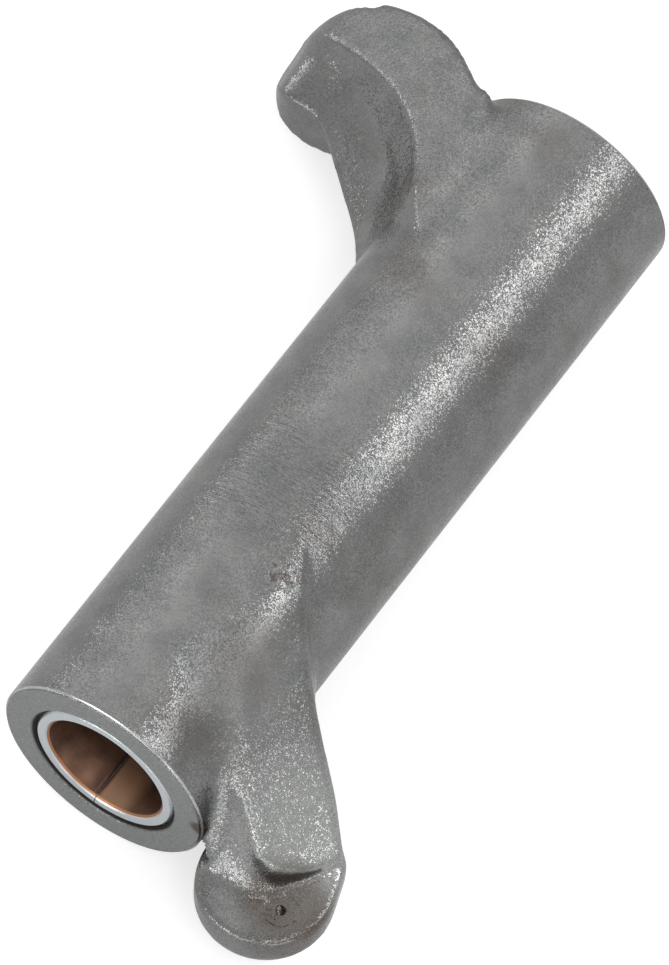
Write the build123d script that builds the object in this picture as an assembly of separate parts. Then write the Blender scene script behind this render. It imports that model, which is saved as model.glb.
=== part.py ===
"""Overhead-valve rocker arm: a forged tube with a pushrod arm at one end and a
valve arm at the other, and a bronze-lined bush pressed into each end of its bore.

The origin is the middle of the bore's axis. +Y runs along the bore to the valve
end, +X points to the pushrod side and +Z is up. Lengths are in millimetres.
"""

from build123d import *
from math import cos, hypot, radians, sin
import os

# Tube and bore
tube_length = 89.0
tube_diameter = 25.0
tube_edge_chamfer = 0.35
bush_inner_diameter = 14.27
bush_wall = 1.595
bush_length = 22.0
bush_recess = 0.25  # depth of each bush below the tube's end face
bush_chamfer = 0.35
bore_chamfer = 0.45
bore_relief = 0.5  # extra radius of the bore between the two bushes

# Blends of both arms
side_points = 6  # points on each side of a cross-section
side_power = 1.5  # how late a side curves out towards its foot
far_draft = 1.2  # lean of the far sides
blend_sink = 0.1  # how far a blend goes on below the tube's surface, in parts of its radius

# Pushrod arm: a rib with a flat top that runs down to a round boss
pushrod_reach = 20.1  # from the bore's axis to the middle of the cup
pushrod_offset = 1.3  # from the near end face back to the middle of the cup
pushrod_slope = 38.0  # degrees below level of the rib's top
rib_lift = 0.3  # height of the rib's top above a plane that touches the tube
rib_edge_radius = 1.1
# x, lift above the top's plane, near edge, far edge, floor, width of the near edge's round
rib_stations = [
    (0.5, -3.45, -29.0, -11.0, -7.0, 9.0),
    (4.0, -1.1, -32.0, -14.2, -7.2, 11.0),
    (7.7, 0.19, -35.8, -18.6, -7.5, 9.0),
    (11.0, 0.0, -38.0, -22.9, -8.0, 3.5),
    (15.0, 0.0, -40.9, -27.1, -8.4, 1.2),
    (19.0, 0.0, -43.9, -30.4, -8.6, 1.0),
    (22.5, 0.0, -46.6, -33.5, -8.8, 0.9),
    (26.0, 0.3, -49.2, -36.8, -9.0, 0.9),
]
# round end of the rib's top, near side first, from the middle of the cup
rib_end = [(-2.4, 0.1), (-0.6, -0.75), (1.4, 0.2), (3.6, 3.0), (5.3, 7.4)]
rib_draft = 1.5  # lean of the rib's near side
rib_foot_drop = 1.0  # from the boss's top down to the foot of the rib's near side
rib_foot_width = 3.0  # from the foot of the near side in to the flat underside
rib_blends = (5.0, 3.5)  # radii of the blends between the rib and the tube, near and far side
# x, then (y, z) of the start, the middle and the foot of the hollow slope beside the rib
apron_stations = [
    (9.5, (-36.2, 7.8), (-39.2, 7.7), (-42.0, 7.1)),
    (12.5, (-38.6, 5.8), (-41.6, 3.4), (-44.4, 0.2)),
    (15.5, (-41.0, 3.5), (-43.2, -0.6), (-46.6, -3.85)),
    (18.5, (-43.2, 1.1), (-44.4, -1.9), (-46.8, -3.85)),
    (21.5, (-42.4, -1.7), (-43.0, -3.0), (-44.2, -3.85)),
]
apron_depth = 2.5  # how far the slope's root reaches into the rib
apron_floor = -7.0  # height of that root
boss_radius = 7.5
boss_top = -3.7
boss_wall = 3.7
boss_height = 7.3
boss_foot_radius = 5.6
boss_edge_radius = 0.8
heel_radius = 3.0  # of the boss's corner beside the rib
heel_place = (3.2, 4.9)  # of that corner's centre from the boss's
cup_radius = 3.97
cup_lead = 0.5
oil_hole_diameter = 1.1
oil_hole_stretch = 1.2  # length of the drilled hole over the depth of metal it passes
oil_hole_shift = (3.2, -2.0)
oil_dimple_radius = 1.9
oil_dimple_depth = 0.15
oil_way_diameter = 2.4
oil_way_landing = 4.0  # from the inner end of the near bush to where the way meets the axis

# Valve arm: a curved arm with a flat top that ends in a pad
valve_slope = 21.0  # degrees below level of the arm's top
arm_sink = 0.05  # depth of the arm's top below a plane that touches the tube
arm_edge_radius = 0.7
# distance from the axis, depth below the top's plane, far edge, near edge, ledge and its drop,
# foot (y, z), floor
arm_stations = [
    (4.3, 0, 36.6, 17.6, 13.8, 1.5, 11.5, -3.0, -7.0),
    (8.4, 0, 40.9, 25.2, 21.6, 2.2, 17.0, -4.0, -7.6),
    (12.0, 0, 44.0, 30.5, 28.0, 3.3, 21.5, -4.0, -8.0),
    (16.0, 0, 46.9, 36.0, 33.6, 4.0, 26.5, -4.0, -8.2),
    (20.0, 0, 49.2, 39.2, 37.4, 3.6, 30.3, -4.0, -8.4),
    (24.5, 0, 50.3, 41.4, 40.4, 2.6, 34.2, -3.8, -8.6),
    (28.5, 0, 50.0, 42.6, 42.0, 1.8, 36.7, -3.5, -8.6),
    (31.5, 0.3, 48.2, 43.2, 42.6, 1.3, 36.7, -3.5, -8.4),
    (33.4, 1.6, 46.2, 43.6, 42.9, 1.0, 36.9, -4.6, -8.3),
    (35.2, 4.6, 45.2, 43.2, 42.4, 1.2, 37.6, -6.9, -8.2),
]
arm_foot_width = 2.0  # from the foot of the near side in to the flat underside
arm_blends = (4.5, 0.8)  # radii of the blends between the arm and the tube, near and far side
pad_tip = 34.8  # from the bore's axis to the outer end of the pad
pad_root = 23.5  # from the bore's axis to the inner end of the pad
pad_width = 12.4
pad_join = 28.5  # from the bore's axis to where the arm's sides meet the pad's
pad_middle = 43.0  # along Y
pad_shoulder = -3.6  # height of the pad's upper face, inside the arm
pad_nose = 31.5  # from the bore's axis to where that face ends
pad_bottom = -10.2
pad_corner_radii = (3.6, 7.0)  # near and far corners of the pad's tip
pad_low_reach = 4.2  # from the tip back to the lowest line of the pad
pad_tip_rise = 3.6  # rise of the underside from that line to the tip
pad_root_rise = 2.2  # rise of the underside from that line to the inner end

bush_outer_diameter = bush_inner_diameter + 2 * bush_wall
end_y = tube_length / 2
tube_radius = tube_diameter / 2
bore_radius = bush_outer_diameter / 2


def rib_top(x):
    """Height of the pushrod rib's top plane at a distance x from the axis."""
    tilt = radians(pushrod_slope)
    return (tube_radius + rib_lift - x * sin(tilt)) / cos(tilt)


def arm_top(x):
    """Height of the valve arm's top plane at a distance x from the axis."""
    tilt = radians(valve_slope)
    return (tube_radius - arm_sink - x * sin(tilt)) / cos(tilt)


def flare(x, z, blend):
    """Spread of an arm's side at (x, z), which turns it out into the tube's surface."""
    gap = (hypot(x, z) - tube_radius) / blend
    return blend * (1 - min(max(gap, -blend_sink), 1.0)) ** 3


def side(x, start, end, blend, power):
    """Points down one side of a cross-section at x, from start to end, each (y, z)."""
    outward = 1 if blend > 0 else -1
    top_spread = flare(x, start[1], abs(blend))
    points = []
    for k in range(side_points):
        s = k / (side_points - 1)  # 0 at the start, 1 at the end
        z = start[1] + s * (end[1] - start[1])
        spread = flare(x, z, abs(blend)) - top_spread
        points.append((start[0] + (end[0] - start[0]) * s**power + outward * spread, z))
    return points


def section(x, top, near_side, far_side, heel, rounds):
    """Cross-section of an arm at x, from its flat top down both sides to its underside.

    near_side is a list of edges and far_side an edge that run down from the top, heel is
    where the underside starts on the near side, and rounds are the widths of the rounded
    top edges, near one first.
    """
    near, far = near_side[0] @ 0, far_side @ 0
    near_end, far_end = (near.X + rounds[0], top), (far.X - rounds[1], top)
    outline = [
        Line(far_end, near_end),
        Bezier(near_end, (near.X, top), near),
        *near_side,
        Line(near_side[-1] @ 1, heel),
        Line(heel, far_side @ 1),
        far_side,
        Bezier(far, (far.X, top), far_end),
    ]
    return Plane.YZ.offset(x) * make_face(outline)


def pushrod_rib():
    """Tapering rib of the pushrod arm, from inside the tube to the end of its top."""
    faces = []
    for x, lift, near, far, floor, near_round in rib_stations:
        top = rib_top(x) + lift
        start = top - rib_edge_radius
        foot = (near - rib_draft, boss_top - rib_foot_drop)
        near_side = Spline(side(x, (near, start), foot, -rib_blends[0], side_power))
        far_side = Spline(side(x, (far, start), (far - far_draft, floor), rib_blends[1], 1.0))
        heel = (foot[0] + rib_foot_width, floor)
        faces.append(section(x, top, [near_side], far_side, heel, (near_round, rib_edge_radius)))
    return loft(faces)


def rib_apron():
    """Hollow slope from the rib's near edge down to the tube and to the boss's top."""
    faces = []
    for x, start, middle, foot in apron_stations:
        root = (start[0] + apron_depth, apron_floor)
        outline = [Spline(start, middle, foot), Line(foot, root), Line(root, start)]
        faces.append(Plane.YZ.offset(x) * make_face(outline))
    return loft(faces)


def valve_beam():
    """Curved beam of the valve arm, from inside the tube to the end of the pad."""
    faces = []
    for x, sink, far, near, ledge_y, drop, foot_y, foot_z, floor in arm_stations:
        top = arm_top(x) - sink
        start = top - arm_edge_radius
        ledge = (ledge_y, top - drop)
        strip = Line((near, start), ledge)
        ramp = Spline(side(x, ledge, (foot_y, foot_z), -arm_blends[0], side_power))
        far_side = Spline(side(x, (far, start), (far - far_draft, floor), arm_blends[1], 1.0))
        heel = (foot_y + arm_foot_width, floor)
        rounds = (arm_edge_radius, arm_edge_radius)
        faces.append(section(-x, top, [strip, ramp], far_side, heel, rounds))
    return loft(faces)


def pad_plan():
    """Plan of the valve arm's end: the pad's rounded outline, open towards the tube."""
    end = Pos(-pad_tip / 2, pad_middle) * Rectangle(pad_tip, pad_width)
    near_corner, far_corner = end.vertices().group_by(Axis.X)[0].sort_by(Axis.Y)
    end = fillet(near_corner, pad_corner_radii[0])
    far_corner = end.vertices().sort_by_distance(far_corner)[0]
    end = fillet(far_corner, pad_corner_radii[1])
    return end + Pos(tube_length / 2 - pad_join, pad_middle) * Rectangle(tube_length, tube_length)


def pushrod_boss():
    """Boss under the end of the rib: a round wall with a straight flank, tapered below."""
    rim = Circle(boss_radius).edges() + (Pos(*heel_place) * Circle(heel_radius)).edges()
    wall = extrude(make_hull(rim), -boss_wall)
    wall = fillet(wall.faces().sort_by(Axis.Z)[-1].edges(), boss_edge_radius)
    taper = upright_cone(boss_foot_radius, boss_radius, boss_height - boss_wall)
    return Pos(0, 0, boss_top) * (wall + Pos(0, 0, -boss_height) * taper)


def pushrod_cup():
    """Space of the ball cup, of its oil hole and of that hole's shallow dimple."""
    mouth = Vector(0, 0, boss_top - boss_height)
    ball = Pos(mouth) * Rot(0, 90, 0) * Sphere(cup_radius)
    lead = Pos(mouth) * upright_cone(cup_radius + cup_lead, cup_radius, cup_lead)
    outlet = Vector(*oil_hole_shift, boss_top)
    dimple = Pos(outlet) * Cylinder(oil_dimple_radius, 2 * oil_dimple_depth)
    start = mouth + (outlet - mouth) * oil_hole_stretch
    return ball + lead + dimple + drill(start, mouth, oil_hole_diameter)


def upright_cone(bottom, top, height):
    """Cone or taper that stands on the origin, given its two radii."""
    return Cone(bottom, top, height, align=(Align.CENTER, Align.CENTER, Align.MIN))


def drill(start, end, diameter):
    """Straight round hole from one point to another."""
    path = end - start
    align = (Align.CENTER, Align.CENTER, Align.MIN)
    return Plane(start, z_dir=path) * Cylinder(diameter / 2, path.length, align=align)


def rib_outline():
    """Plan of the pushrod rib, which ends in a U that stands on the boss."""
    points = [(pushrod_reach + dx, pushrod_offset - end_y + dy) for dx, dy in rib_end]
    last_x = points[-1][0]
    edges = [
        Line((0, 0), (0, -end_y)),
        Line((0, -end_y), points[0]),
        ThreePointArc(*points[:3]),
        ThreePointArc(*points[2:]),
        Line(points[-1], (last_x, 0)),
        Line((last_x, 0), (0, 0)),
    ]
    return make_face(edges)


def valve_pad():
    """Pad at the end of the valve arm, curved about an axis along the bore."""
    low = (-pad_tip + pad_low_reach, pad_bottom)
    tip = (-pad_tip, pad_bottom + pad_tip_rise)
    root = (-pad_root, pad_bottom + pad_root_rise)
    profile = [
        Line((-pad_root, pad_shoulder), (-pad_nose, pad_shoulder)),
        Line((-pad_nose, pad_shoulder), tip),
        ThreePointArc(tip, low, root),
        Line(root, (-pad_root, pad_shoulder)),
    ]
    block = extrude(Plane.XZ * make_face(profile), pad_width / 2, both=True)
    return Pos(0, pad_middle, 0) * block


def build_body():
    """The forging, with its bore, ball cup and oil way."""
    tube = Rot(90, 0, 0) * Cylinder(tube_radius, tube_length)
    tube = chamfer(tube.edges().filter_by(GeomType.CIRCLE), tube_edge_chamfer)
    rib = pushrod_rib() & extrude(rib_outline(), tube_diameter, both=True)
    arm = (valve_beam() + valve_pad()) & extrude(pad_plan(), tube_diameter, both=True)
    cup_place = Pos(pushrod_reach, pushrod_offset - end_y, 0)
    body = tube + rib + rib_apron() + arm + cup_place * pushrod_boss()
    body -= cup_place * pushrod_cup()
    body -= Rot(90, 0, 0) * Cylinder(bore_radius, tube_length)
    relief_length = tube_length - 2 * (bush_length + bush_recess)
    body -= Rot(90, 0, 0) * Cylinder(bore_radius + bore_relief, relief_length)
    mouth = upright_cone(bore_radius + bore_chamfer, bore_radius, bore_chamfer)
    body -= Pos(0, -end_y, 0) * Rot(-90, 0, 0) * mouth
    body -= Pos(0, end_y, 0) * Rot(90, 0, 0) * mouth
    way_start = Vector(pushrod_reach, pushrod_offset - end_y, boss_top - boss_height)
    way_end = Vector(0, bush_length + oil_way_landing - end_y, 0)
    return body - drill(way_start, way_end, oil_way_diameter)


def build_bush():
    """Bush with its bore along Y, centred on the origin."""
    ring = Cylinder(bore_radius, bush_length) - Cylinder(bush_inner_diameter / 2, bush_length)
    return Rot(90, 0, 0) * chamfer(ring.edges().filter_by(GeomType.CIRCLE), bush_chamfer)


body = build_body()
bush = build_bush()
bush_place = end_y - bush_recess - bush_length / 2
os.makedirs("parts", exist_ok=True)
export_step(body, "parts/rocker_body.step")
export_step(Pos(0, -bush_place, 0) * bush, "parts/near_bush.step")
export_step(Pos(0, bush_place, 0) * bush, "parts/far_bush.step")
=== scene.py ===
"""Looks of an overhead-valve rocker arm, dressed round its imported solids.

The body is a steel forging, shot-blasted all over and then faced at both ends of its
tube. Each end of its bore holds a wrapped bush: a steel back with a bronze lining, and
an open seam where the strip's two edges meet.
"""

from __future__ import annotations

import logging
import math
from dataclasses import dataclass
from enum import Enum
from typing import Any

import bmesh
import bpy
from mathutils import Matrix, Vector


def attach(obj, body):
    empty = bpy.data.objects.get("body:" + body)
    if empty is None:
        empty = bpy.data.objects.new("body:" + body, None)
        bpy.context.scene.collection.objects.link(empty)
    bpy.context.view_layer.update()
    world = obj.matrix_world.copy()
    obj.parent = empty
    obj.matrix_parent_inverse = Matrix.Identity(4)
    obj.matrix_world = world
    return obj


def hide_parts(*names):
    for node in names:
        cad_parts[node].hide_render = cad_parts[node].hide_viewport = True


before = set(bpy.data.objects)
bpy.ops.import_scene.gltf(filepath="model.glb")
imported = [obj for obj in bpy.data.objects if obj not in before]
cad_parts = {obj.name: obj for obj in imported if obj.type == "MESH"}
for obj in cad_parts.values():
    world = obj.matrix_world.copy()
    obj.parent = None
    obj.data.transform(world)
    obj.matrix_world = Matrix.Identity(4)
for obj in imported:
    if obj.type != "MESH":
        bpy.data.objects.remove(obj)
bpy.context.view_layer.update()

MM = 0.001
TUBE_RADIUS = 12.5  # millimetres, like the sizes below
END_FACE = 44.5  # from the middle of the bore
END_EDGE = 0.35  # chamfer of the end faces
BUSH_RADIUS = 8.73
LOG = logging.getLogger("rocker_arm")


class Kind(Enum):
    """Blender's nodes that the finishes and the stage use."""

    COORDINATES = "ShaderNodeTexCoord"
    SPLIT = "ShaderNodeSeparateXYZ"
    JOIN = "ShaderNodeCombineXYZ"
    MAPPING = "ShaderNodeMapping"
    MATH = "ShaderNodeMath"
    VECTOR = "ShaderNodeVectorMath"
    RANGE = "ShaderNodeMapRange"
    NOISE = "ShaderNodeTexNoise"
    CELLS = "ShaderNodeTexVoronoi"
    MIX = "ShaderNodeMix"
    BUMP = "ShaderNodeBump"
    SURFACE = "ShaderNodeBsdfPrincipled"
    MATT = "ShaderNodeBsdfDiffuse"
    GLOW = "ShaderNodeEmission"
    SUM = "ShaderNodeAddShader"
    SKY = "ShaderNodeBackground"
    RAYS = "ShaderNodeLightPath"
    OUTPUT = "ShaderNodeOutputMaterial"
    WORLD_OUTPUT = "ShaderNodeOutputWorld"


class Op(Enum):
    """Operations of the Math and Vector Math nodes."""

    ADD = "ADD"
    SUBTRACT = "SUBTRACT"
    MULTIPLY = "MULTIPLY"
    ABSOLUTE = "ABSOLUTE"
    ANGLE = "ARCTAN2"
    GREATEST = "MAXIMUM"
    LENGTH = "LENGTH"
    DISTANCE = "DISTANCE"
    SCALE = "SCALE"
    UNIT = "NORMALIZE"


class Blend(Enum):
    """How a Map Range node runs between its ends."""

    SMOOTH = "SMOOTHSTEP"


class Data(Enum):
    """What a Mix node mixes."""

    COLOUR = "RGBA"


class End(Enum):
    """End of the bore, by its side along Y."""

    NEAR = -1
    FAR = 1


def linear(hex_colour: str) -> tuple[float, float, float, float]:
    """Turns an sRGB hex colour into the linear values that a shader takes.

    Args:
        hex_colour: Six hex digits after a '#'.

    Returns:
        Linear red, green and blue, and an alpha of 1.
    """
    channels = [int(hex_colour[i : i + 2], 16) / 255 for i in (1, 3, 5)]
    red, green, blue = (
        c / 12.92 if c <= 0.04045 else ((c + 0.055) / 1.055) ** 2.4 for c in channels
    )
    return red, green, blue, 1.0


def per_metre(size_mm: float) -> float:
    """Returns the scale of a pattern whose marks are size_mm apart."""
    return 1.0 / (size_mm * MM)


def add_node(
    tree: bpy.types.NodeTree,
    kind: Kind,
    inputs: dict[int | str, Any] | None = None,
    **settings: Any,
) -> bpy.types.Node:
    """Adds a node with its settings, and sets or links its inputs.

    Args:
        tree: Node tree that takes the node.
        kind: Type of the node.
        inputs: Place or name of a live socket, to a value, a socket, or a node that gives
            its first live output.
        **settings: Attributes of the node; an Enum gives its value.

    Returns:
        The new node.
    """
    node = tree.nodes.new(kind.value)
    for name, choice in settings.items():
        setattr(node, name, choice.value if isinstance(choice, Enum) else choice)
    live = [socket for socket in node.inputs if socket.enabled]
    for key, value in (inputs or {}).items():
        socket = live[key] if isinstance(key, int) else next(s for s in live if s.name == key)
        if isinstance(value, bpy.types.Node):
            value = next(s for s in value.outputs if s.enabled)
        if isinstance(value, bpy.types.NodeSocket):
            tree.links.new(value, socket)
        else:
            socket.default_value = value
    return node


def new_material(name: str) -> tuple[bpy.types.Material, bpy.types.NodeTree]:
    """Makes an empty material.

    Args:
        name: Name of the finish.

    Returns:
        The material and its node tree.
    """
    material = bpy.data.materials.new(name)
    material.use_nodes = True
    material.node_tree.nodes.clear()
    return material, material.node_tree


@dataclass(frozen=True)
class Spot:
    """A round mark on a surface, full in its middle and fading outwards.

    Attributes:
        middle: Its middle, in millimetres.
        inner: Distance from the middle within which it is full, in millimetres.
        outer: Distance from the middle beyond which there is none, in millimetres.
        strength: How strong it is where it is full.
    """

    middle: tuple[float, float, float]
    inner: float
    outer: float
    strength: float = 1.0

    def mask(self, tree: bpy.types.NodeTree, place: bpy.types.NodeSocket) -> bpy.types.Node:
        """Finds the mark on the surface.

        Args:
            tree: The material's node tree.
            place: Object coordinates.

        Returns:
            The node that gives its strength.
        """
        middle = tuple(value * MM for value in self.middle)
        away = add_node(tree, Kind.VECTOR, {0: place, 1: middle}, operation=Op.DISTANCE)
        return add_node(
            tree,
            Kind.RANGE,
            {
                "Value": away,
                "From Min": self.outer * MM,
                "From Max": self.inner * MM,
                "To Max": self.strength,
            },
            interpolation_type=Blend.SMOOTH,
        )


@dataclass(frozen=True)
class Skin:
    """Nodes that the colour, the gloss and the relief of the steel share.

    Attributes:
        tree: The material's node tree.
        place: Object coordinates.
        dents: Cells of the shot marks.
        mottle: Soft lumps of a few millimetres.
        pits: 1 in the pits that the forging scale left.
        shaded_valley: Strength of the shade painted darker into the valley beside the rib, which is
            also duller there.
        turned: 1 on the turned end faces.
        groove_shade: 1 in the groove round each bush, where shade is painted dark.
        edge_highlight: 1 on the outer edge of each end face, where a highlight is painted.
    """

    tree: bpy.types.NodeTree
    place: bpy.types.NodeSocket
    dents: bpy.types.Node
    mottle: bpy.types.Node
    pits: bpy.types.Node
    shaded_valley: bpy.types.Node
    turned: bpy.types.Node
    groove_shade: bpy.types.Node
    edge_highlight: bpy.types.Node


@dataclass(frozen=True)
class ForgedSteel:
    """Forged steel, shot-blasted, with its end faces turned afterwards.

    Steel shot leaves tiny dents side by side. They give the eye an even, neutral grey that
    breaks up into sparks where a lamp is mirrored. The turned faces are flat, smoother and
    duller; their outer edge is glossier and painted pale as a highlight, and the groove round
    each bush is painted dark as shade.
    """

    grey: str = "#646565"
    pale: str = "#717170"
    stain: str = "#57524e"
    # pale grey of painted light: the highlight along the end faces' outer edges and the lit end of
    # the pushrod arm
    highlight_grey: str = "#9a9c9a"
    # painted shade: the darker grey of the valley beside the rib
    valley_shade_grey: str = "#4a4846"
    # brown of the pits and of the boss top's stain, which is painted darker there as shade too
    brown_stain_and_shade: str = "#4a413b"
    turned_grey: str = "#757876"
    # painted shade: the dark brown of the corner where the arm meets the near end face
    corner_shade_brown: str = "#3a2c26"
    # painted shade in the groove round each bush
    groove_shade_dark: str = "#2b2725"
    grazing: str = "#dcdcdc"  # rough skin mirrors less than polished steel at low angles
    metallic: float = 0.9
    speck: tuple[float, float] = (0.76, 1.26)  # how much darker and lighter single dents are

    dent_mm: float = 0.12  # the real dents are about 0.1 mm; coarser, so that they show
    dent_tilt: float = 0.27
    turned_tilt: float = 0.12  # tilt on the turned faces, as a part of the dents' tilt
    mottle_mm: float = 4.0
    mottle_tone: tuple[float, float] = (0.32, 0.68)  # lump heights from grey to pale
    stain_mm: float = 11.0
    stain_share: tuple[float, float] = (0.55, 0.75)  # patch heights from clean to stained
    stain_strength: float = 0.5
    boss_patch_share: tuple[float, float] = (0.3, 0.6)  # patch heights from faint to strong, for the boss's brown stain and painted shade
    boss_patch_strength: tuple[float, float] = (0.4, 0.9)
    pit_mm: float = 0.7
    pit_share: tuple[float, float] = (0.48, 0.6)  # pattern heights from level to pitted
    pit_darkness: float = 0.7
    pit_height: float = -0.5
    streak_mm: tuple[float, float, float] = (4.5, 0.45, 4.5)  # marks across the tube
    streak_height: tuple[float, float] = (0.12, 4.0)  # elsewhere, and where they are deepest
    relief_strength: float = 0.6
    relief_depth: float = 0.12 * MM

    lump_range: tuple[float, float] = (0.3, 0.7)  # lump heights from dull to glossy
    blasted_gloss: tuple[float, float] = (0.28, 0.22)
    dull_gloss: float = 0.5
    dull_share: float = 0.9
    turned_gloss: float = 0.38
    groove_shade_gloss: float = 0.75
    edge_gloss: float = 0.24

    combed: Spot = Spot((-0.5, -11.0, 12.3), 4.0, 11.0)
    pitted: Spot = Spot((5.2, -19.7, 11.7), 1.0, 3.2)
    dull: Spot = Spot((7.2, -31.0, 10.2), 3.0, 8.5)
    # painted light: the pushrod arm's end is painted paler where more light falls on it
    lit_arm_end: Spot = Spot((21.5, -37.5, -0.5), 3.0, 13.0, 0.6)
    # the valley beside the rib: painted darker as shade, and made duller
    shaded_valley: Spot = Spot((8.0, -38.0, 9.2), 0.5, 6.0, 0.5)
    # the boss top: a brown stain, painted darker still as shade
    boss_stain_and_shade: Spot = Spot((23.4, -44.6, -4.4), 3.2, 6.6)
    # the corner where the arm meets the near end face, painted dark as shade
    corner_shade: Spot = Spot((12.2, -44.3, 0.9), 0.7, 1.5, 0.85)
    dimple: Spot = Spot((23.3, -45.2, -3.7), 1.7, 2.1, -0.6)  # its strength is its height

    # distances from the bore's axis and from its middle over which each mask of the end
    # faces goes from none to full, in millimetres
    turned_radius: tuple[float, float] = (TUBE_RADIUS - 0.1, TUBE_RADIUS - 0.2)
    turned_depth: tuple[float, float] = (END_FACE - 0.06, END_FACE - 0.02)
    # the groove round each bush, painted dark as shade
    groove_shade_radius: tuple[float, float] = (BUSH_RADIUS + 0.37, BUSH_RADIUS + 0.22)
    groove_shade_depth: tuple[float, float] = (END_FACE - 0.6, END_FACE - 0.56)
    # the outer edge of each end face, where a highlight is painted
    edge_inside: tuple[float, float] = (TUBE_RADIUS - 0.22, TUBE_RADIUS - 0.17)
    edge_outside: tuple[float, float] = (TUBE_RADIUS + 0.3, TUBE_RADIUS)
    edge_depth: tuple[float, float] = (END_FACE - 0.4, END_FACE - 0.3)

    def build(self) -> bpy.types.Material:
        """Returns the material."""
        material, tree = new_material("shot_blasted_forged_steel")
        skin = self.skin(tree)
        shader = add_node(
            tree,
            Kind.SURFACE,
            {
                "Base Color": self.colour(skin),
                "Metallic": self.metallic,
                "Roughness": self.gloss(skin),
                "Normal": self.relief(skin),
                "Specular Tint": linear(self.grazing),
            },
        )
        add_node(tree, Kind.OUTPUT, {"Surface": shader})
        return material

    def skin(self, tree: bpy.types.NodeTree) -> Skin:
        """Adds the patterns and masks that the finish is made from.

        Args:
            tree: The material's node tree.

        Returns:
            Their nodes.
        """
        place = add_node(tree, Kind.COORDINATES).outputs["Object"]
        dents = add_node(tree, Kind.CELLS, {"Vector": place, "Scale": per_metre(self.dent_mm)})
        mottle = add_node(
            tree,
            Kind.NOISE,
            {"Vector": place, "Scale": per_metre(self.mottle_mm), "Detail": 3.0, "Roughness": 0.6},
        )
        pits = add_node(
            tree, Kind.NOISE, {"Vector": place, "Scale": per_metre(self.pit_mm), "Detail": 3.0}
        )
        level, pitted = self.pit_share
        pits = add_node(tree, Kind.RANGE, {"Value": pits, "From Min": level, "From Max": pitted})
        near_pits = self.pitted.mask(tree, place)
        pits = add_node(tree, Kind.MATH, {0: pits, 1: near_pits}, operation=Op.MULTIPLY)
        shaded_valley = self.shaded_valley.mask(tree, place)
        turned, groove_shade, edge_highlight = self.end_masks(tree, place)
        return Skin(tree, place, dents, mottle, pits, shaded_valley, turned, groove_shade, edge_highlight)

    def end_masks(
        self, tree: bpy.types.NodeTree, place: bpy.types.NodeSocket
    ) -> list[bpy.types.Node]:
        """Finds the turned end faces, the groove round each bush where shade is painted, and the
        edges where a highlight is painted.

        Args:
            tree: The material's node tree.
            place: Object coordinates.

        Returns:
            Nodes that are 1 on the turned faces, in the groove's painted shade and on the edges'
            painted highlight.
        """
        axes = add_node(tree, Kind.SPLIT, {0: place})
        across = add_node(tree, Kind.JOIN, {0: axes.outputs[0], 2: axes.outputs[2]})
        radius = add_node(tree, Kind.VECTOR, {0: across}, operation=Op.LENGTH)
        along = add_node(tree, Kind.MATH, {0: axes.outputs[1]}, operation=Op.ABSOLUTE)
        masks = []
        for limits in (
            ((radius, self.turned_radius), (along, self.turned_depth)),
            ((radius, self.groove_shade_radius), (along, self.groove_shade_depth)),
            ((radius, self.edge_inside), (radius, self.edge_outside), (along, self.edge_depth)),
        ):
            mask: Any = 1.0
            for distance, (none, full) in limits:
                within = add_node(
                    tree,
                    Kind.RANGE,
                    {"Value": distance, "From Min": none * MM, "From Max": full * MM},
                )
                mask = add_node(tree, Kind.MATH, {0: mask, 1: within}, operation=Op.MULTIPLY)
            masks.append(mask)
        return masks

    def colour(self, skin: Skin) -> bpy.types.Node:
        """Builds the colour: mottled grey with stains and pits, painted light, shade and
        highlights.

        Args:
            skin: The patterns and masks.

        Returns:
            The last node of the colour.
        """
        tree, place = skin.tree, skin.place
        low, high = self.mottle_tone
        tone = add_node(tree, Kind.RANGE, {"Value": skin.mottle, "From Min": low, "From Max": high})
        colour = add_node(
            tree,
            Kind.MIX,
            {"Factor": tone, "A": linear(self.grey), "B": linear(self.pale)},
            data_type=Data.COLOUR,
        )
        patches = add_node(
            tree, Kind.NOISE, {"Vector": place, "Scale": per_metre(self.stain_mm), "Detail": 2.0}
        )
        low, high = self.stain_share
        stained = add_node(
            tree,
            Kind.RANGE,
            {"Value": patches, "From Min": low, "From Max": high, "To Max": self.stain_strength},
            interpolation_type=Blend.SMOOTH,
        )
        low, high = self.boss_patch_share
        thin, thick = self.boss_patch_strength
        uneven = add_node(
            tree,
            Kind.RANGE,
            {"Value": patches, "From Min": low, "From Max": high, "To Min": thin, "To Max": thick},
        )
        boss_stain_and_shade = self.boss_stain_and_shade.mask(tree, place)
        boss_stain_and_shade = add_node(tree, Kind.MATH, {0: boss_stain_and_shade, 1: uneven}, operation=Op.MULTIPLY)
        pitted = {0: skin.pits, 1: self.pit_darkness}
        pitted = add_node(tree, Kind.MATH, pitted, operation=Op.MULTIPLY)
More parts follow.
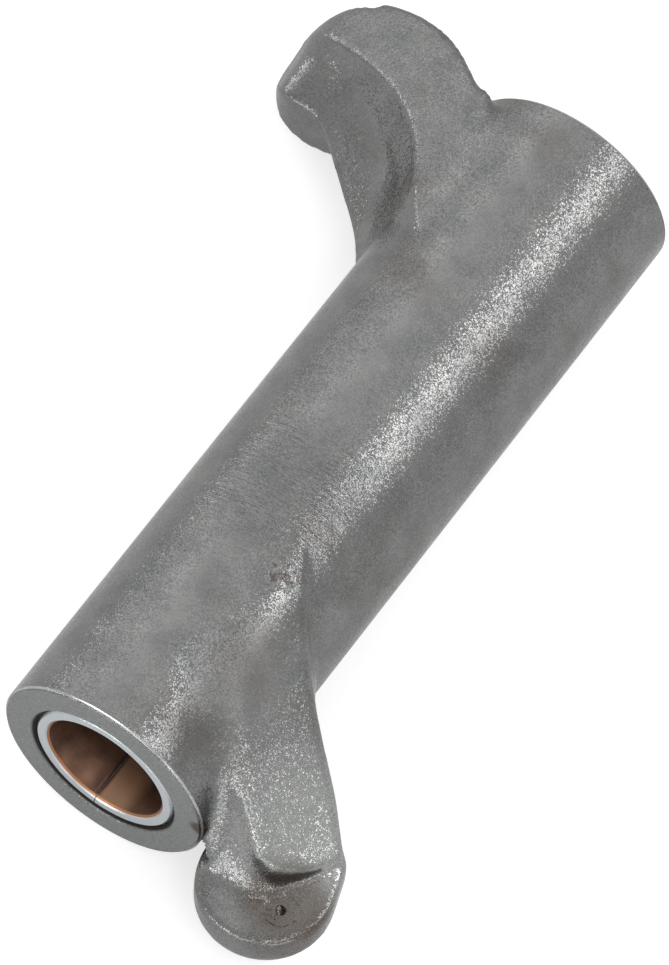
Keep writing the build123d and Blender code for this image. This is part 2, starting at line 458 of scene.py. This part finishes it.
        # stains, painted light on the arm's end, painted shade in the valley, the boss's brown
        # stain darkened as painted shade, pits, turned faces, painted shade in the corner and the
        # groove, and a painted highlight on the edges
        for mask, layer in (
            (stained, self.stain),
            (self.lit_arm_end.mask(tree, place), self.highlight_grey),
            (skin.shaded_valley, self.valley_shade_grey),
            (boss_stain_and_shade, self.brown_stain_and_shade),
            (pitted, self.brown_stain_and_shade),
            (skin.turned, self.turned_grey),
            (self.corner_shade.mask(tree, place), self.corner_shade_brown),
            (skin.groove_shade, self.groove_shade_dark),
            (skin.edge_highlight, self.highlight_grey),
        ):
            colour = add_node(
                tree,
                Kind.MIX,
                {"Factor": mask, "A": colour, "B": linear(layer)},
                data_type=Data.COLOUR,
            )
        dent = add_node(tree, Kind.SPLIT, {0: skin.dents.outputs["Color"]})
        dark, light = self.speck
        dent = add_node(tree, Kind.RANGE, {"Value": dent, "To Min": dark, "To Max": light})
        return add_node(
            tree,
            Kind.MIX,
            {"Factor": 1.0, "A": colour, "B": dent},
            data_type=Data.COLOUR,
            blend_type=Op.MULTIPLY,
        )

    def gloss(self, skin: Skin) -> bpy.types.Node:
        """Builds the roughness: glossier on the lumps, dull where hands have been and in the valley
        where shade is painted.

        Args:
            skin: The patterns and masks.

        Returns:
            The last node of the roughness.
        """
        tree = skin.tree
        low, high = self.lump_range
        hollow, lump = self.blasted_gloss
        gloss = add_node(
            tree,
            Kind.RANGE,
            {
                "Value": skin.mottle,
                "From Min": low,
                "From Max": high,
                "To Min": hollow,
                "To Max": lump,
            },
        )
        dull = self.dull.mask(tree, skin.place)
        dull = add_node(tree, Kind.MATH, {0: dull, 1: skin.shaded_valley}, operation=Op.GREATEST)
        dull = add_node(tree, Kind.MATH, {0: dull, 1: self.dull_share}, operation=Op.MULTIPLY)
        for mask, roughness in (
            (dull, self.dull_gloss),
            (skin.turned, self.turned_gloss),
            (skin.groove_shade, self.groove_shade_gloss),
            (skin.edge_highlight, self.edge_gloss),
        ):
            gloss = add_node(tree, Kind.MIX, {"Factor": mask, "A": gloss, "B": roughness})
        return gloss

    def relief(self, skin: Skin) -> bpy.types.Node:
        """Builds the surface's direction: a tilted facet for each dent on a soft relief.

        Args:
            skin: The patterns and masks.

        Returns:
            The node of the shaded normal.
        """
        tree, place = skin.tree, skin.place
        across = add_node(
            tree,
            Kind.MAPPING,
            {"Vector": place, "Scale": tuple(per_metre(size) for size in self.streak_mm)},
        )
        streaks = add_node(
            tree, Kind.NOISE, {"Vector": across, "Scale": 1.0, "Detail": 3.0, "Roughness": 0.6}
        )
        faint, deep = self.streak_height
        combed = self.combed.mask(tree, place)
        combed = add_node(tree, Kind.RANGE, {"Value": combed, "To Min": faint, "To Max": deep})
        streaks = add_node(tree, Kind.MATH, {0: streaks, 1: combed}, operation=Op.MULTIPLY)
        sunk = {0: skin.pits, 1: self.pit_height}
        sunk = add_node(tree, Kind.MATH, sunk, operation=Op.MULTIPLY)
        height: Any = skin.mottle
        for layer in (streaks, sunk, self.dimple.mask(tree, place)):
            height = add_node(tree, Kind.MATH, {0: height, 1: layer}, operation=Op.ADD)
        smooth = {0: skin.turned, 1: skin.edge_highlight}
        smooth = add_node(tree, Kind.MATH, smooth, operation=Op.GREATEST)
        blasted = add_node(tree, Kind.MATH, {0: 1.0, 1: smooth}, operation=Op.SUBTRACT)
        height = add_node(tree, Kind.MATH, {0: height, 1: blasted}, operation=Op.MULTIPLY)
        soft = add_node(
            tree,
            Kind.BUMP,
            {"Strength": self.relief_strength, "Distance": self.relief_depth, "Height": height},
        )
        level = (0.5, 0.5, 0.5)  # a cell's colour is 0 to 1, so this makes its lean even
        lean = {0: skin.dents.outputs["Color"], 1: level}
        lean = add_node(tree, Kind.VECTOR, lean, operation=Op.SUBTRACT)
        least = self.dent_tilt * self.turned_tilt
        amount = add_node(
            tree, Kind.RANGE, {"Value": blasted, "To Min": least, "To Max": self.dent_tilt}
        )
        lean = add_node(tree, Kind.VECTOR, {0: lean, "Scale": amount}, operation=Op.SCALE)
        tilted = add_node(tree, Kind.VECTOR, {0: soft, 1: lean}, operation=Op.ADD)
        return add_node(tree, Kind.VECTOR, {0: tilted}, operation=Op.UNIT)


@dataclass(frozen=True)
class BushSteel:
    """Cold-rolled steel back of a wrapped bush.

    Rolling leaves it smooth and bluish, so its end ring is the brightest, cleanest part.
    """

    colour: str = "#a3a8ac"
    scratch_mm: float = 0.5
    scratch_range: tuple[float, float] = (0.3, 0.7)  # pattern heights from glossy to dull
    gloss: tuple[float, float] = (0.26, 0.42)
    scratch_strength: float = 0.3
    scratch_depth: float = 0.03 * MM

    def build(self) -> bpy.types.Material:
        """Returns the material."""
        material, tree = new_material("cold_rolled_bush_steel")
        place = add_node(tree, Kind.COORDINATES).outputs["Object"]
        scratches = add_node(
            tree, Kind.NOISE, {"Vector": place, "Scale": per_metre(self.scratch_mm), "Detail": 3.0}
        )
        bump = add_node(
            tree,
            Kind.BUMP,
            {
                "Strength": self.scratch_strength,
                "Distance": self.scratch_depth,
                "Height": scratches,
            },
        )
        low, high = self.scratch_range
        glossy, dull = self.gloss
        gloss = add_node(
            tree,
            Kind.RANGE,
            {
                "Value": scratches,
                "From Min": low,
                "From Max": high,
                "To Min": glossy,
                "To Max": dull,
            },
        )
        shader = add_node(
            tree,
            Kind.SURFACE,
            {
                "Base Color": linear(self.colour),
                "Metallic": 1.0,
                "Roughness": gloss,
                "Normal": bump,
            },
        )
        add_node(tree, Kind.OUTPUT, {"Surface": shader})
        return material


@dataclass(frozen=True)
class LiningBronze:
    """Leaded bronze lining, bored in place and browned by oil.

    Boring leaves fine rings; oil turns the copper colour dark brown, a lighter tan patch
    runs on from one side of the seam, and the chamfer at the mouth keeps a clean copper edge.
    """

    brown: str = "#4a342a"
    tan: str = "#8a6b55"
    copper: str = "#8f5f40"
    seam_angle: float = -96.0  # degrees from +X towards +Z
    seam_blur: float = 0.01  # radians on each side of the seam
    patch_turn: float = 26.0  # degrees that the lighter patch runs on from the seam
    patch_fade: tuple[float, float] = (0.1, 0.25)  # radians before and after its end
    cloud_mm: float = 2.5
    cloud_range: tuple[float, float] = (0.35, 0.75)  # pattern heights from brown to cloudy
    cloud_strength: float = 0.35
    ring_mm: tuple[float, float, float] = (8.0, 0.35, 8.0)  # boring marks run round the bore
    ring_strength: float = 0.5
    ring_depth: float = 0.02 * MM
    mouth: tuple[float, float] = (43.85, 43.95)  # where the copper edge starts, in millimetres
    metallic: float = 0.85
    roughness: float = 0.4

    def build(self) -> bpy.types.Material:
        """Returns the material."""
        material, tree = new_material("bored_leaded_bronze")
        place = add_node(tree, Kind.COORDINATES).outputs["Object"]
        axes = add_node(tree, Kind.SPLIT, {0: place})
        turn = add_node(
            tree, Kind.MATH, {0: axes.outputs[2], 1: axes.outputs[0]}, operation=Op.ANGLE
        )
        start = math.radians(self.seam_angle)
        stop = math.radians(self.seam_angle + self.patch_turn)
        blur = self.seam_blur
        rise = add_node(
            tree, Kind.RANGE, {"Value": turn, "From Min": start - blur, "From Max": start + blur}
        )
        before, after = self.patch_fade
        fall = add_node(
            tree,
            Kind.RANGE,
            {"Value": turn, "From Min": stop + after, "From Max": stop - before},
            interpolation_type=Blend.SMOOTH,
        )
        patch = add_node(tree, Kind.MATH, {0: rise, 1: fall}, operation=Op.MULTIPLY)
        clouds = add_node(
            tree, Kind.NOISE, {"Vector": place, "Scale": per_metre(self.cloud_mm), "Detail": 4.0}
        )
        low, high = self.cloud_range
        cloudy = add_node(
            tree,
            Kind.RANGE,
            {"Value": clouds, "From Min": low, "From Max": high, "To Max": self.cloud_strength},
        )
        along = add_node(tree, Kind.MATH, {0: axes.outputs[1]}, operation=Op.ABSOLUTE)
        none, full = (depth * MM for depth in self.mouth)
        clean = add_node(tree, Kind.RANGE, {"Value": along, "From Min": none, "From Max": full})
        colour: Any = linear(self.brown)
        for mask, layer in ((cloudy, self.tan), (patch, self.tan), (clean, self.copper)):
            colour = add_node(
                tree,
                Kind.MIX,
                {"Factor": mask, "A": colour, "B": linear(layer)},
                data_type=Data.COLOUR,
            )
        rings = add_node(
            tree,
            Kind.MAPPING,
            {"Vector": place, "Scale": tuple(per_metre(size) for size in self.ring_mm)},
        )
        tool_marks = add_node(tree, Kind.NOISE, {"Vector": rings, "Scale": 1.0, "Detail": 2.0})
        bump = add_node(
            tree,
            Kind.BUMP,
            {"Strength": self.ring_strength, "Distance": self.ring_depth, "Height": tool_marks},
        )
        shader = add_node(
            tree,
            Kind.SURFACE,
            {
                "Base Color": colour,
                "Metallic": self.metallic,
                "Roughness": self.roughness,
                "Normal": bump,
            },
        )
        add_node(tree, Kind.OUTPUT, {"Surface": shader})
        return material


@dataclass
class WrappedBush:
    """A bush rolled from bronze-lined steel strip, with its seam left open.

    Attributes:
        node: Node of the solid that this piece replaces.
        end: End of the bore that it is pressed into.
        steel: Finish of the back.
        bronze: Finish of the lining.
        seam_angle: Place of the seam round the bore, in degrees from +X towards +Z.
    """

    node: str
    end: End
    steel: bpy.types.Material
    bronze: bpy.types.Material
    seam_angle: float = LiningBronze.seam_angle
    outer_radius: float = BUSH_RADIUS * MM
    inner_radius: float = 14.27 / 2 * MM
    lining: float = 0.2 * MM
    chamfer: float = 0.35 * MM
    seam: float = 0.1 * MM
    length: float = 22.0 * MM
    outer_end: float = 44.25 * MM
    turns: int = 96
    flat_from: float = 0.5  # the ends' faces are flat, the rest are smooth
    weld: float = 1e-7

    def profile(self) -> list[tuple[float, float]]:
        """Returns the wall's outline as (radius, place along the bore), from the lining."""
        start, stop = self.outer_end - self.length, self.outer_end
        back = self.inner_radius + self.lining
        return [
            (self.inner_radius, start + self.chamfer),
            (self.inner_radius, stop - self.chamfer),
            (back, stop - self.chamfer + self.lining),
            (self.inner_radius + self.chamfer, stop),
            (self.outer_radius - self.chamfer, stop),
            (self.outer_radius, stop - self.chamfer),
            (self.outer_radius, start + self.chamfer),
            (self.outer_radius - self.chamfer, start),
            (self.inner_radius + self.chamfer, start),
            (back, start + self.chamfer - self.lining),
        ]

    def wall(self) -> bmesh.types.BMesh:
        """Spins the outline round the bore from one side of the seam to the other.

        Returns:
            The closed wall, its faces outwards.
        """
        mesh = bmesh.new()
        side = self.end.value
        outline = [mesh.verts.new((radius, side * y, 0.0)) for radius, y in self.profile()]
        cut = mesh.faces.new(outline)
        gap = self.seam / self.inner_radius
        turn = Matrix.Rotation(-math.radians(self.seam_angle) - gap / 2, 4, "Y")
        bmesh.ops.transform(mesh, matrix=turn, verts=outline)
        bmesh.ops.spin(
            mesh,
            geom=[cut, *cut.edges, *cut.verts],
            cent=(0.0, 0.0, 0.0),
            axis=(0.0, -1.0, 0.0),
            dvec=(0.0, 0.0, 0.0),
            angle=2 * math.pi - gap,
            steps=self.turns,
            use_merge=False,
            use_duplicate=False,
        )
        bmesh.ops.remove_doubles(mesh, verts=mesh.verts, dist=self.weld)
        bmesh.ops.recalc_face_normals(mesh, faces=mesh.faces)
        return mesh

    def build(self) -> bpy.types.Object:
        """Makes the wall a piece, dressed in steel outside and bronze inside.

        Returns:
            The finished piece, riding on the root body.
        """
        mesh = self.wall()
        back = self.inner_radius + self.lining
        for face in mesh.faces:
            centre = face.calc_center_median()
            face.material_index = int(math.hypot(centre.x, centre.z) < back)
            face.smooth = abs(face.normal.y) < self.flat_from
        data = bpy.data.meshes.new(self.node + "_wrapped")
        mesh.to_mesh(data)
        mesh.free()
        data.materials.append(self.steel)
        data.materials.append(self.bronze)
        piece = bpy.data.objects.new(self.node + "_wrapped", data)
        bpy.context.scene.collection.objects.link(piece)
        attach(piece, "root")
        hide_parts(self.node)
        return piece


@dataclass
class Forging:
    """The forged body, with the soft edges and roots that a forging die leaves.

    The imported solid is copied, its bore and its oil hole are filled, and a fine even mesh
    is laid over it. A trough is sunk beside the rib, and the skin is smoothed. The tools
    then cut the bore, both end faces and the oil hole again, so those stay sharp.

    Attributes:
        node: Node of the body's solid, which this piece replaces.
        steel: Finish of the forging.
    """

    node: str
    steel: bpy.types.Material
    grid: float = 0.4 * MM  # spacing of the even mesh
    weld: float = 1e-7
    tube_radius: float = TUBE_RADIUS * MM
    end_face: float = END_FACE * MM
    edge_chamfer: float = END_EDGE * MM
    stub: float = 1.5 * MM  # the tube's extra length, which is turned off again
    bore_radius: float = BUSH_RADIUS * MM
    relief_radius: float = (BUSH_RADIUS + 0.5) * MM
    relief_end: float = 22.25 * MM
    bore_chamfer: float = 0.45 * MM
    clearance: float = 0.35 * MM  # of the turning tools outside the tube
    bore_steps: int = 128
    sharp_angle: float = 32.0  # degrees between faces from which an edge is sharp
    hole_outlet: tuple[float, float, float] = (23.3 * MM, -45.2 * MM, -3.7 * MM)
    hole_source: tuple[float, float, float] = (20.1 * MM, -43.2 * MM, -11.0 * MM)
    hole_radius: float = 0.55 * MM
    hole_span: tuple[float, float] = (0.78, 1.2)  # of the way from its source to its outlet
    hole_steps: int = 32
    plug_radius: float = 0.8 * MM
    plug_span: tuple[float, float] = (0.7, 0.93)
    plug_steps: int = 16
    smoothing: float = 0.5
    all_over: int = 3  # rounds of smoothing on the whole skin
    # middle, reach and rounds of smoothing of each place where one form runs into another,
    # in millimetres
    soft_places: tuple[tuple[tuple[float, float, float], float, int], ...] = (
        ((2.0, -26.0, 12.0), 5.5, 60),
        ((6.5, -31.5, 10.5), 4.5, 50),
        ((8.0, -38.5, 8.5), 4.2, 40),
        ((16.5, -46.0, -3.7), 2.6, 30),
        ((20.5, -43.6, -3.7), 1.6, 10),
        ((16.0, -42.4, 0.8), 2.6, 14),
        ((14.2, -41.2, 3.4), 2.6, 14),
        ((18.8, -43.9, -1.6), 2.2, 14),
        ((20.8, -43.6, -1.6), 2.4, 16),
        ((-8.0, 38.0, 10.0), 5.0, 40),
        ((-3.0, 17.0, 12.2), 4.0, 25),
    )
    soft_parts: tuple[float, ...] = (1.15, 1.0, 0.85, 0.7)  # parts of the reach, outermost first

    # start and end of the trough between the rib and the near end face, in millimetres
    trough: tuple[tuple[float, float, float], tuple[float, float, float]] = (
        (4.2, -34.0, 11.8),
        (9.8, -39.5, 8.0),
    )
    trough_reach: float = 3.6
    trough_depth: float = 0.4

    def rod(
        self, mesh: bmesh.types.BMesh, start: Vector, end: Vector, radius: float, steps: int
    ) -> None:
        """Adds a closed round rod to a mesh.

        Args:
            mesh: Mesh that takes the rod.
            start: Middle of one end.
            end: Middle of the other end.
            radius: Radius of the rod.
            steps: Sides of the rod.
        """
        path = end - start
        turn = path.to_track_quat("Z", "Y").to_matrix().to_4x4()
        bmesh.ops.create_cone(
            mesh,
            cap_ends=True,
            segments=steps,
            radius1=radius,
            radius2=radius,
            depth=path.length,
            matrix=Matrix.Translation((start + end) / 2) @ turn,
        )

    def blank(self) -> bmesh.types.BMesh:
        """Copies the solid and fills its bore, its oil hole and a stub beyond each end.

        Returns:
            The shells of the blank, which overlap.
        """
        mesh = bmesh.new()
        mesh.from_mesh(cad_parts[self.node].data)
        bmesh.ops.remove_doubles(mesh, verts=mesh.verts, dist=self.weld)
        reach = Vector((0.0, self.end_face + self.stub, 0.0))
        self.rod(mesh, -reach, reach, self.tube_radius, self.bore_steps)
        outlet, source = Vector(self.hole_outlet), Vector(self.hole_source)
        start, stop = (source.lerp(outlet, part) for part in self.plug_span)
        self.rod(mesh, start, stop, self.plug_radius, self.plug_steps)
        return mesh

    def tools(self) -> bmesh.types.BMesh:
        """Shapes what the lathe and the drill take away.

        Returns:
            One closed shell for the bore and the end faces, and one for the oil hole.
        """
        mesh = bmesh.new()
        far = self.end_face + 2 * self.stub
        outside = self.tube_radius + self.clearance
        half = [
            (self.relief_radius, 0.0),
            (self.relief_radius, self.relief_end),
            (self.bore_radius, self.relief_end),
            (self.bore_radius, self.end_face - self.bore_chamfer),
            (self.bore_radius + self.bore_chamfer, self.end_face),
            (self.tube_radius - self.edge_chamfer, self.end_face),
            (outside, self.end_face - self.edge_chamfer - self.clearance),
            (outside, far),
            (0.0, far),
        ]
        profile = [(radius, -y) for radius, y in reversed(half[1:])] + half
        line = [mesh.verts.new((radius, y, 0.0)) for radius, y in profile]
        edges = [mesh.edges.new(pair) for pair in zip(line, line[1:])]
        bmesh.ops.spin(
            mesh,
            geom=[*line, *edges],
            cent=(0.0, 0.0, 0.0),
            axis=(0.0, 1.0, 0.0),
            dvec=(0.0, 0.0, 0.0),
            angle=2 * math.pi,
            steps=self.bore_steps,
            use_merge=True,
            use_duplicate=False,
        )
        outlet, source = Vector(self.hole_outlet), Vector(self.hole_source)
        start, stop = (source.lerp(outlet, part) for part in self.hole_span)
        self.rod(mesh, start, stop, self.hole_radius, self.hole_steps)
        bmesh.ops.remove_doubles(mesh, verts=mesh.verts, dist=self.weld)
        bmesh.ops.recalc_face_normals(mesh, faces=mesh.faces)
        return mesh

    def placed(self, name: str, mesh: bmesh.types.BMesh) -> bpy.types.Object:
        """Turns a bmesh into an object in the scene.

        Args:
            name: Name of the object and of its mesh.
            mesh: The bmesh, which is freed.

        Returns:
            The object.
        """
        data = bpy.data.meshes.new(name)
        mesh.to_mesh(data)
        mesh.free()
        made = bpy.data.objects.new(name, data)
        bpy.context.scene.collection.objects.link(made)
        return made

    def applied(self, piece: bpy.types.Object) -> bmesh.types.BMesh:
        """Takes the mesh that an object's modifiers give, and drops the object.

        Args:
            piece: The object.

        Returns:
            The finished mesh.
        """
        bpy.context.view_layer.update()
        graph = bpy.context.evaluated_depsgraph_get()
        mesh = bmesh.new()
        mesh.from_object(piece, graph)
        bpy.data.objects.remove(piece)
        return mesh

    def carve(self, mesh: bmesh.types.BMesh) -> None:
        """Sinks the trough between the rib and the near end face into the skin.

        Args:
            mesh: The skin.
        """
        start, end = (Vector(point) * MM for point in self.trough)
        path = end - start
        reach = self.trough_reach * MM
        for vert in mesh.verts:
            t = min(max((vert.co - start).dot(path) / path.length_squared, 0.0), 1.0)
            away = (vert.co - start - path * t).length / reach
            if away < 1.0:
                inward = -Vector((vert.co.x, 0.0, vert.co.z)).normalized()
                vert.co += inward * self.trough_depth * MM * (1.0 - away**2) ** 2

    def soften(self, mesh: bmesh.types.BMesh) -> None:
        """Smooths the skin all over, and more where one form runs into another.

        Args:
            mesh: The skin.
        """
        areas = [(list(mesh.verts), self.all_over)]
        for middle, reach, rounds in self.soft_places:
            place = Vector(middle) * MM
            away = {v: (v.co - place).length / MM for v in mesh.verts}
            for part in self.soft_parts:
                near = [v for v, distance in away.items() if distance < reach * part]
                areas.append((near, max(rounds // len(self.soft_parts), 1)))
        for verts, rounds in areas:
            for _ in range(rounds):
                bmesh.ops.smooth_vert(
                    mesh,
                    verts=verts,
                    factor=self.smoothing,
                    use_axis_x=True,
                    use_axis_y=True,
                    use_axis_z=True,
                )

    def build(self) -> bpy.types.Object:
        """Makes the skin, turns and drills it, and dresses it in its steel.

        Returns:
            The finished piece, riding on the root body.
        """
        skin = self.placed("blank", self.blank())
        even = skin.modifiers.new("even_mesh", "REMESH")
        even.mode = "VOXEL"
        even.voxel_size = self.grid
        mesh = self.applied(skin)
        self.carve(mesh)
        self.soften(mesh)
        skin = self.placed("skin", mesh)
        tools = self.placed("tools", self.tools())
        cut = skin.modifiers.new("turned", "BOOLEAN")
        cut.operation = "DIFFERENCE"
        cut.solver = "EXACT"
        cut.object = tools
        mesh = self.applied(skin)
        bpy.data.objects.remove(tools)
        bmesh.ops.remove_doubles(mesh, verts=mesh.verts, dist=self.weld)
        piece = self.placed(self.node + "_forged", mesh)
        piece.data.shade_smooth()
        piece.data.set_sharp_from_angle(angle=math.radians(self.sharp_angle))
        piece.data.materials.clear()
        piece.data.materials.append(self.steel)
        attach(piece, "root")
        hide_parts(self.node)
        return piece


@dataclass(frozen=True)
class Lamp:
    """A soft lamp that faces the middle of the bore, two of its sides along the bore.

    Attributes:
        name: Name of the lamp.
        place: Where it hangs, in metres.
        length: Its size along the bore, in metres.
        width: Its size across the bore, in metres.
        power: Its power in watts.
    """

    name: str
    place: tuple[float, float, float]
    length: float
    width: float
    power: float

    def build(self) -> bpy.types.Object:
        """Hangs the lamp and returns it."""
        light = bpy.data.lights.new(self.name, "AREA")
        light.shape = "RECTANGLE"
        light.size, light.size_y = self.length, self.width
        light.energy = self.power
        back = Vector(self.place).normalized()
        along = (Vector((0.0, 1.0, 0.0)) - back * back.y).normalized()
        turn = Matrix((along, back.cross(along), back)).transposed().to_4x4()
        lamp = bpy.data.objects.new(self.name, light)
        lamp.matrix_world = Matrix.Translation(self.place) @ turn
        bpy.context.scene.collection.objects.link(lamp)
        return lamp


@dataclass
class Studio:
    """Pale floor, soft lamps and the camera.

    Every lamp mirrors in one kind of surface: the key along the tube's band, the overhead
    lamp and the fill on its top and left, the edge lamp and the rim lamp on rounded sides,
    the front lamp on edges that face the near end, and the slope lamp on the rib's slope.
    """

    white: str = "#ffffff"
    floor_white: str = "#d2d2d2"
    floor_height: float = -12.6 * MM
    floor_size: float = 3.0
    floor_glow: float = 0.58  # makes the floor look white, and lights nothing
    room_light: float = 0.5
    room_seen: float = 1.0
    lamps: tuple[Lamp, ...] = (
        Lamp("key", (0.6, 0.38, 0.71), 0.36, 0.28, 2.4),
        Lamp("overhead", (-0.15, 0.431, 0.89), 0.8, 1.2, 1.8),
        Lamp("fill", (-0.85, 0.4, 0.66), 0.9, 0.9, 1.6),
        Lamp("edge", (0.78, -0.6, 0.2), 0.7, 0.14, 2.0),
        Lamp("front", (-0.15, -0.87, 0.43), 0.12, 1.0, 3.0),
        Lamp("slope", (0.45, -0.33, 0.8), 0.3, 0.3, 1.2),
        Lamp("rim", (-0.93, 0.05, 0.3), 0.3, 0.16, 0.8),
    )
    camera_place: tuple[float, float, float] = (0.2020, -0.3826, 0.7716)
    camera_right: tuple[float, float, float] = (0.8266, 0.5595, 0.0601)
    camera_down: tuple[float, float, float] = (0.5145, -0.7079, -0.4839)
    lens: float = 310.3
    sensor: float = 36.0
    clip: tuple[float, float] = (0.05, 20.0)

    def seen(self, tree: bpy.types.NodeTree, plain: float, shown: float) -> bpy.types.Node:
        """Tells light that lights from light that is looked at.

        Args:
            tree: Node tree of the world or of the floor.
            plain: Strength that lights the object.
            shown: Strength that the camera, gloss and glass show.

        Returns:
            The node of the strength.
        """
        rays = add_node(tree, Kind.RAYS)
        looked_at: Any = rays.outputs["Is Camera Ray"]
        for name in ("Is Glossy Ray", "Is Transmission Ray"):
            looked_at = add_node(
                tree, Kind.MATH, {0: looked_at, 1: rays.outputs[name]}, operation=Op.GREATEST
            )
        return add_node(tree, Kind.MIX, {"Factor": looked_at, "A": plain, "B": shown})

    def build_world(self) -> None:
        """Lights the room evenly, and shows a white background."""
        world = bpy.data.worlds.new("studio")
        bpy.context.scene.world = world
        world.use_nodes = True
        tree = world.node_tree
        tree.nodes.clear()
        strength = self.seen(tree, self.room_light, self.room_seen)
        light = add_node(tree, Kind.SKY, {"Color": linear(self.white), "Strength": strength})
        add_node(tree, Kind.WORLD_OUTPUT, {"Surface": light})

    def build_floor(self) -> bpy.types.Object:
        """Lays the pale floor and returns it."""
        mesh = bmesh.new()
        bmesh.ops.create_grid(mesh, x_segments=1, y_segments=1, size=self.floor_size)
        bmesh.ops.translate(mesh, verts=mesh.verts, vec=(0.0, 0.0, self.floor_height))
        data = bpy.data.meshes.new("floor")
        mesh.to_mesh(data)
        mesh.free()
        floor = bpy.data.objects.new("floor", data)
        bpy.context.scene.collection.objects.link(floor)
        material, tree = new_material("matt_white_floor")
        paint = add_node(tree, Kind.MATT, {"Color": linear(self.floor_white)})
        strength = self.seen(tree, 0.0, self.floor_glow)
        glow = add_node(tree, Kind.GLOW, {"Color": linear(self.white), "Strength": strength})
        both = add_node(tree, Kind.SUM, {0: paint, 1: glow})
        add_node(tree, Kind.OUTPUT, {"Surface": both})
        data.materials.append(material)
        return floor

    def build_camera(self) -> bpy.types.Object:
        """Sets the camera to the view of the object and returns it."""
        right, up = Vector(self.camera_right), -Vector(self.camera_down)
        turn = Matrix((right, up, right.cross(up))).transposed().to_4x4()
        data = bpy.data.cameras.new("camera")
        data.lens = self.lens
        data.sensor_width = self.sensor
        data.clip_start, data.clip_end = self.clip
        camera = bpy.data.objects.new("camera", data)
        camera.matrix_world = Matrix.Translation(self.camera_place) @ turn
        bpy.context.scene.collection.objects.link(camera)
        bpy.context.scene.camera = camera
        return camera

    def build(self) -> None:
        """Builds the whole stage."""
        self.build_world()
        self.build_floor()
        for lamp in self.lamps:
            lamp.build()
        self.build_camera()


def main() -> None:
    """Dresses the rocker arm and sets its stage."""
    logging.basicConfig(level=logging.INFO)
    bpy.context.scene.view_settings.view_transform = "Standard"
    steel, bronze = BushSteel().build(), LiningBronze().build()
    pieces = [
        Forging("rocker_body", ForgedSteel().build()),
        WrappedBush("near_bush", End.NEAR, steel, bronze),
        WrappedBush("far_bush", End.FAR, steel, bronze),
    ]
    for piece in pieces:
        made = piece.build()
        LOG.info("%s: %d faces", made.name, len(made.data.polygons))
    Studio().build()


if __name__ == "__main__":
    main()
